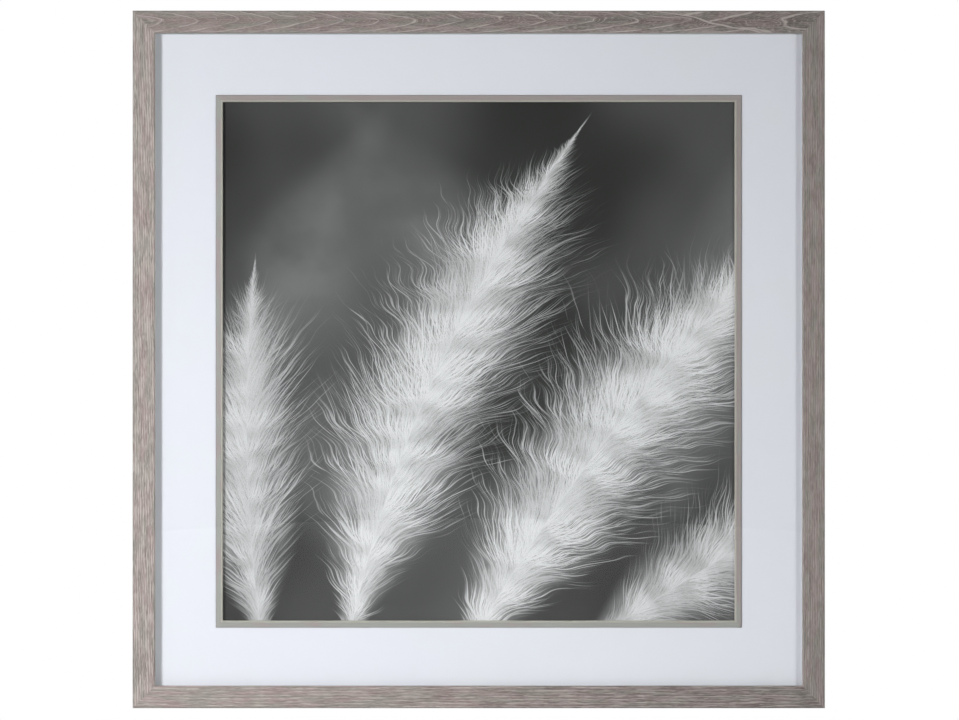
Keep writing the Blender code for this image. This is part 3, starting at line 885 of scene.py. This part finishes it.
def flat_strap():
    """Outlines of the strap before folding, as (length along, across): its edge, then its holes."""
    upper_start = STRAP_LENGTH + FOLD_LENGTH
    total = upper_start + STRAP_LENGTH - FOLD_END_DROP
    half, corner = STRAP_HALF_WIDTH, 3.2 * MM
    outline = [
        *arc((corner, -half + corner), corner, 180, 270, 8),
        *arc((total - corner, -half + corner), corner, 270, 360, 8),
        *arc((total - corner, half - corner), corner, 0, 90, 8),
        *arc((corner, half - corner), corner, 90, 180, 8),
    ]
    holes = []
    for drop in SCREW_DROPS:
        for centre in (STRAP_LENGTH - drop, upper_start + drop - FOLD_END_DROP):
            holes.append(arc((centre, 0.0), SCREW_HOLE_RADIUS, 0, 345, 23))
    return outline, holes


def make_strap(name, node, pivot, metal):
    """A strip of sheet metal folded double round the ring's bar, punched for two screws."""
    outline, holes = flat_strap()
    points, edges = [], []
    for loop in (outline, *holes):
        first = len(points)
        points += [Vector(point) for point in loop]
        edges += [(first + i, first + (i + 1) % len(loop)) for i in range(len(loop))]
    bends_from, bends_to = STRAP_LENGTH - 3.0 * MM, STRAP_LENGTH + 18.0 * MM
    bends = 44
    for i in range(bends + 1):
        along = bends_from + (bends_to - bends_from) * i / bends
        edges.append((len(points), len(points) + 1))
        points += [Vector((along, -STRAP_HALF_WIDTH)), Vector((along, STRAP_HALF_WIDTH))]
    flat, _, faces, *_ = geometry.delaunay_2d_cdt(points, edges, [], 2, 1e-7)
    inside = [face for face in faces if not in_hole([flat[i] for i in face], holes)]
    work = bmesh.new()
    verts = []
    for along, across in flat:
        drop, height = folded(along)
        verts.append(work.verts.new((across, height, -drop)))
    for face in inside:
        work.faces.new([verts[i] for i in face])
    loose = [vert for vert in work.verts if not vert.link_faces]
    bmesh.ops.delete(work, geom=loose, context="VERTS")
    obj = new_piece(name, work)
    thicken = obj.modifiers.new("thicken", "SOLIDIFY")
    thicken.thickness = SHEET
    thicken.offset = 0.0
    ease = obj.modifiers.new("ease", "BEVEL")
    ease.width = 0.12 * MM
    ease.segments = 2
    ease.limit_method = "ANGLE"
    ease.angle_limit = math.radians(50)
    settle(obj, crease=18.0)
    obj.matrix_world = Matrix.Translation((pivot.x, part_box(node)[0].y, pivot.z))
    finish_piece(obj, metal, "frame", "zinc_plate", node)


def in_hole(corners, holes):
    """True for a face of the flat strap whose middle lies in a screw hole."""
    middle = sum((Vector(corner) for corner in corners), Vector((0, 0))) / len(corners)
    for hole in holes:
        centre = sum((Vector(point) for point in hole), Vector((0, 0))) / len(hole)
        if (middle - centre).length < SCREW_HOLE_RADIUS - 0.05 * MM:
            return True
    return False


def ring_path():
    """The D: a straight bar at the top, two sides and a round foot, as (x, z) round the loop."""
    half, side, corner = mm(10.0, 10.0, 2.5)
    return spread(
        [
            *arc((corner - half, -corner), corner, 90, 180, 10),
            *arc((0.0, -side), half, 180, 360, 44),
            *arc((half - corner, -corner), corner, 0, 90, 10),
        ],
        1.2 * MM,
    )


def make_ring(name, node, body, pivot, metal):
    """Round wire bent to a D, hanging tipped out over its strap."""
    wire_radius, around, tipped_out = 1.5 * MM, 20, 4
    path = ring_path()
    work = bmesh.new()
    loops = []
    for n, (x, z) in enumerate(path):
        before, after = path[n - 1], path[(n + 1) % len(path)]
        ahead = Vector((after[0] - before[0], 0, after[1] - before[1])).normalized()
        outward = ahead.cross(Vector((0, 1, 0)))
        loop = []
        for i in range(around):
            angle = 2 * math.pi * i / around
            offset = outward * math.cos(angle) + Vector((0, math.sin(angle), 0))
            loop.append(work.verts.new(Vector((x, 0, z)) + offset * wire_radius))
        loops.append(loop)
    for here, there in zip(loops, loops[1:] + loops[:1]):
        for i in range(around):
            k = (i + 1) % around
            work.faces.new((here[i], here[k], there[k], there[i]))
    obj = new_piece(name, work)
    lean = Matrix.Rotation(math.radians(tipped_out), 4, "X")
    obj.matrix_world = Matrix.Translation(pivot) @ lean
    finish_piece(obj, metal, body, "zinc_plate", node)


def screw_mesh():
    """A pan-head screw with a crossed recess and a cut thread, its head's seat at the origin."""
    length, neck, core, crest, tip, pitch = mm(12.0, 0.9, 1.05, 1.5, 2.5, 1.1)
    head, tall, crown, rim, ease = mm(3.0, 1.6, 0.05, 0.55, 0.12)
    crown_radius, ridge_share = head * 0.55, 0.22

    def threaded(radius, height, angle):
        if height > -neck or radius > crest:
            return radius
        phase = (height / pitch - angle / (2 * math.pi)) % 1.0
        ridge = max(0.0, 1 - abs(phase - 0.5) / ridge_share)
        taper = min(1.0, (height + length) / tip)
        return core * taper + (crest - core) * ridge * taper

    profile = [(0.0, tall)]
    profile += [(crown_radius * i / 4, tall - crown * (i / 4) ** 2) for i in range(1, 5)]
    profile += [
        (crown_radius + (head - crown_radius) * math.sin(a), rim + (tall - crown - rim) * math.cos(a))
        for a in (math.radians(10 * i) for i in range(2, 10))
    ]
    profile += [(head, ease), (head - ease, 0.0), (crest, 0.0), (crest, -neck)]
    steps = 90
    profile += [(crest, -neck - (length - neck - 0.05 * MM) * i / steps) for i in range(1, steps)]
    profile.append((0.0, -length))
    work = bmesh.new()
    turned(work, profile, 36, threaded)
    body = new_piece("screw_blank", work)

    # Each arm of the cross, at its foot in the head and at its top over it: width, thickness, height.
    foot, top = mm(1.5, 0.5, 0.45), mm(3.5, 0.62, 2.1)
    cutter = bmesh.new()
    for turn in (0, 90):
        spin = Matrix.Rotation(math.radians(turn), 4, "Z")
        for vertex in bmesh.ops.create_cube(cutter, size=1.0)["verts"]:
            wide, thick, height = foot if vertex.co.z < 0 else top
            vertex.co = spin @ Vector((vertex.co.x * wide, vertex.co.y * thick, height))
    cross = new_piece("screw_cross", cutter)
    cut = body.modifiers.new("recess", "BOOLEAN")
    cut.operation = "DIFFERENCE"
    cut.solver = "EXACT"
    cut.use_self = True
    cut.object = cross
    settle(body)
    mesh = body.data
    bpy.data.objects.remove(body)
    bpy.data.objects.remove(cross)
    return mesh


def make_screw(name, node, mesh, place, turn, metal):
    """One screw out of the frame's back, turned so many degrees, as screws stop where they stop."""
    obj = bpy.data.objects.new(name, mesh.copy())
    bpy.context.scene.collection.objects.link(obj)
    spin = Matrix.Rotation(math.radians(turn), 4, "Z")
    obj.matrix_world = Matrix.Translation(place) @ OUT_OF_BACK @ spin
    finish_piece(obj, metal, "frame", "zinc_plate", node)


def make_hangers():
    metal = zinc_plate()
    blank = screw_mesh()
    turns = {"left": (22, 71), "right": (48, 5)}
    under_head = 0.3 * MM
    for side in ("left", "right"):
        strap, ring = "hanger_strap_" + side, "hanger_ring_" + side
        body = "ring_" + side
        pivot = HANGER_PIVOTS[body]
        make_strap("folded_strap_" + side, strap, pivot, metal)
        make_ring("d_ring_" + side, ring, body, pivot, metal)
        seat_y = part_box(strap)[0].y + STRAP_THICKNESS + under_head
        for number, drop in enumerate(SCREW_DROPS, start=1):
            node = f"hanger_screw_{side}_{number}"
            place = (pivot.x, seat_y, pivot.z - drop)
            make_screw(f"pan_screw_{side}_{number}", node, blank, place, turns[side][number - 1], metal)


def make_bumpers():
    """Domed rubber feet that keep the frame off the wall."""
    black, worn = (0.022, 0.021, 0.020), (0.05, 0.048, 0.046)
    rubber = moulded("bumper_rubber", black, worn, 0.62)
    ease, skirt, step_in, step_up = mm(0.2, 0.5, 0.25, 0.3)
    draft, shoulder, lip, lip_drop, dish_rim, dish = mm(1.0, 1.1, 0.4, 0.1, 0.9, 0.35)
    for corner in ("top_left", "top_right", "bottom_right", "bottom_left"):
        low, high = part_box("bumper_" + corner)
        radius = (high.x - low.x) / 2
        tall = high.y - low.y
        flat_from = radius - draft - shoulder
        profile = [(0.0, 0.0), (radius - ease, 0.0), (radius, ease), (radius, skirt)]
        profile += [(radius - step_in, skirt + step_up)]
        profile += arc((flat_from, tall - shoulder), shoulder, 0, 90, 8)
        profile += [(flat_from - lip, tall - lip_drop), (flat_from - dish_rim, tall - dish)]
        profile += [(0.0, tall - dish)]
        work = bmesh.new()
        turned(work, profile, 40)
        obj = new_piece("rubber_foot_" + corner, work)
        middle = ((low.x + high.x) / 2, low.y, (low.z + high.z) / 2)
        obj.matrix_world = Matrix.Translation(middle) @ OUT_OF_BACK
        finish_piece(obj, rubber, "frame", "bumper_rubber", "bumper_" + corner)


def dress(material, *nodes):
    """Gives CAD nodes a finished material."""
    for name in nodes:
        data = frame["nodes"][name].data
        data.materials.clear()
        data.materials.append(material)


def nodes_called(start):
    """The names of the CAD nodes that begin so."""
    return [name for name in frame["nodes"] if name.startswith(start)]


def dress_hidden_parts():
    dress(mat_paper(), "mat_board")
    dress(foam_board(), "mount_board")
    dress(hardboard(), "backing_board")
    dress(bright_steel("v_nail_steel"), *nodes_called("v_nail_"))
    dress(bright_steel("point_steel"), *nodes_called("point_"))
    clear_grey, dulled = (0.62, 0.65, 0.57), (0.54, 0.56, 0.50)
    dress(moulded("spacer_plastic", clear_grey, dulled, 0.45), *nodes_called("spacer_"))


# ---------------- stage, light, camera


def make_stage():
    """A round pale floor, with a glow that is seen but lights nothing, so that it is pale far off too."""
    radius, height, glow = 5.0, -1.45, 0.55
    bpy.ops.mesh.primitive_circle_add(vertices=96, radius=radius, fill_type="NGON", location=(0, 0, height))
    floor = bpy.context.object
    floor.name = "studio_floor"
    material, (x, y, z) = new_material("studio_floor")
    tree = material.node_tree
    seen = Field(tree, tree.nodes.new("ShaderNodeLightPath").outputs["Is Camera Ray"])
    shade = blend(grain(x / 900, y / 900, z), (0.84, 0.84, 0.84), (0.87, 0.87, 0.87))
    principled(material, shade, 0.9, Emission_Color=(1.0, 1.0, 1.0), Emission_Strength=seen * glow)
    floor.data.materials.append(material)


# Each lamp's place and aim in metres, width and height, watts, and its colour and spread in degrees.
WHITE, KEY_TINT, FILL_TINT = (1.0, 1.0, 1.0), (0.985, 1.0, 0.955), (0.97, 1.0, 0.89)
CENTRE = (0.0, 0.0, 0.0)
LAMPS = {
    "key_left": ((-2.65, -2.2, 0.67), (-0.03, 0.0, -0.43), (0.55, 0.6), 17.6, KEY_TINT, 72.0),
    "fill_right": ((3.4, -3.2, 0.46), (-0.97, 0.0, -0.13), (0.9, 0.6), 7.2, FILL_TINT, 51.0),
    "top_soft": ((0.0, 0.6, 3.2), CENTRE, (2.4, 1.2), 55.0, WHITE, 180.0),
    "back_left": ((-2.4, 3.0, 1.0), CENTRE, (1.2, 1.2), 50.0, WHITE, 180.0),
    "back_right": ((3.0, 3.4, 0.4), CENTRE, (1.2, 1.2), 25.0, WHITE, 180.0),
    "floor_behind": ((0.0, 2.0, 3.2), (0.0, 2.0, 0.0), (4.0, 1.6), 40.0, WHITE, 100.0),
    "floor_before": ((0.0, -3.4, 3.2), (0.0, -3.4, 0.0), (4.0, 1.6), 22.0, WHITE, 76.0),
}


def area_light(name, place, aim, size, watts, colour, spread):
    light = bpy.data.lights.new(name, "AREA")
    light.shape = "RECTANGLE"
    light.size, light.size_y = size
    light.energy = watts
    light.color = colour
    light.spread = math.radians(spread)
    obj = bpy.data.objects.new(name, light)
    bpy.context.scene.collection.objects.link(obj)
    obj.location = place
    obj.rotation_euler = (Vector(aim) - Vector(place)).to_track_quat("-Z", "Y").to_euler()


def make_lights():
    """The lamps, and a world that is white to look at and dim as a light."""
    for name, looks in LAMPS.items():
        area_light(name, *looks)
    world = bpy.data.worlds.new("studio")
    bpy.context.scene.world = world
    world.use_nodes = True
    tree = world.node_tree
    tree.nodes.clear()
    output = tree.nodes.new("ShaderNodeOutputWorld")
    path = tree.nodes.new("ShaderNodeLightPath")
    both = tree.nodes.new("ShaderNodeMixShader")
    tree.links.new(path.outputs["Is Camera Ray"], both.inputs[0])
    lighting, seen = ((0.98, 1.0, 0.92), 0.1), (WHITE, 1.0)
    for socket, (colour, strength) in zip(both.inputs[1:], (lighting, seen)):
        background = tree.nodes.new("ShaderNodeBackground")
        background.inputs[0].default_value = (*colour, 1.0)
        background.inputs[1].default_value = strength
        tree.links.new(background.outputs[0], socket)
    tree.links.new(both.outputs[0], output.inputs[0])


def make_camera():
    """Level and square on, with the whole frame in a view 1.231 m wide at its face."""
    distance, view_width = 3.0, 1.2312
    off_centre, off_level = mm(1.0, -0.8)
    camera = bpy.data.cameras.new("camera")
    camera.sensor_width = 36.0
    camera.lens = camera.sensor_width * distance / view_width
    obj = bpy.data.objects.new("camera", camera)
    bpy.context.scene.collection.objects.link(obj)
    obj.location = (off_centre, FRONT_Y - distance, off_level)
    obj.rotation_euler = (math.radians(90), 0, 0)
    bpy.context.scene.camera = obj
    bpy.context.scene.view_settings.view_transform = "Standard"


make_rails()
make_fillets()
make_glass()
make_print()
make_dust_cover()
make_hangers()
make_bumpers()
dress_hidden_parts()
make_stage()
make_lights()
make_camera()
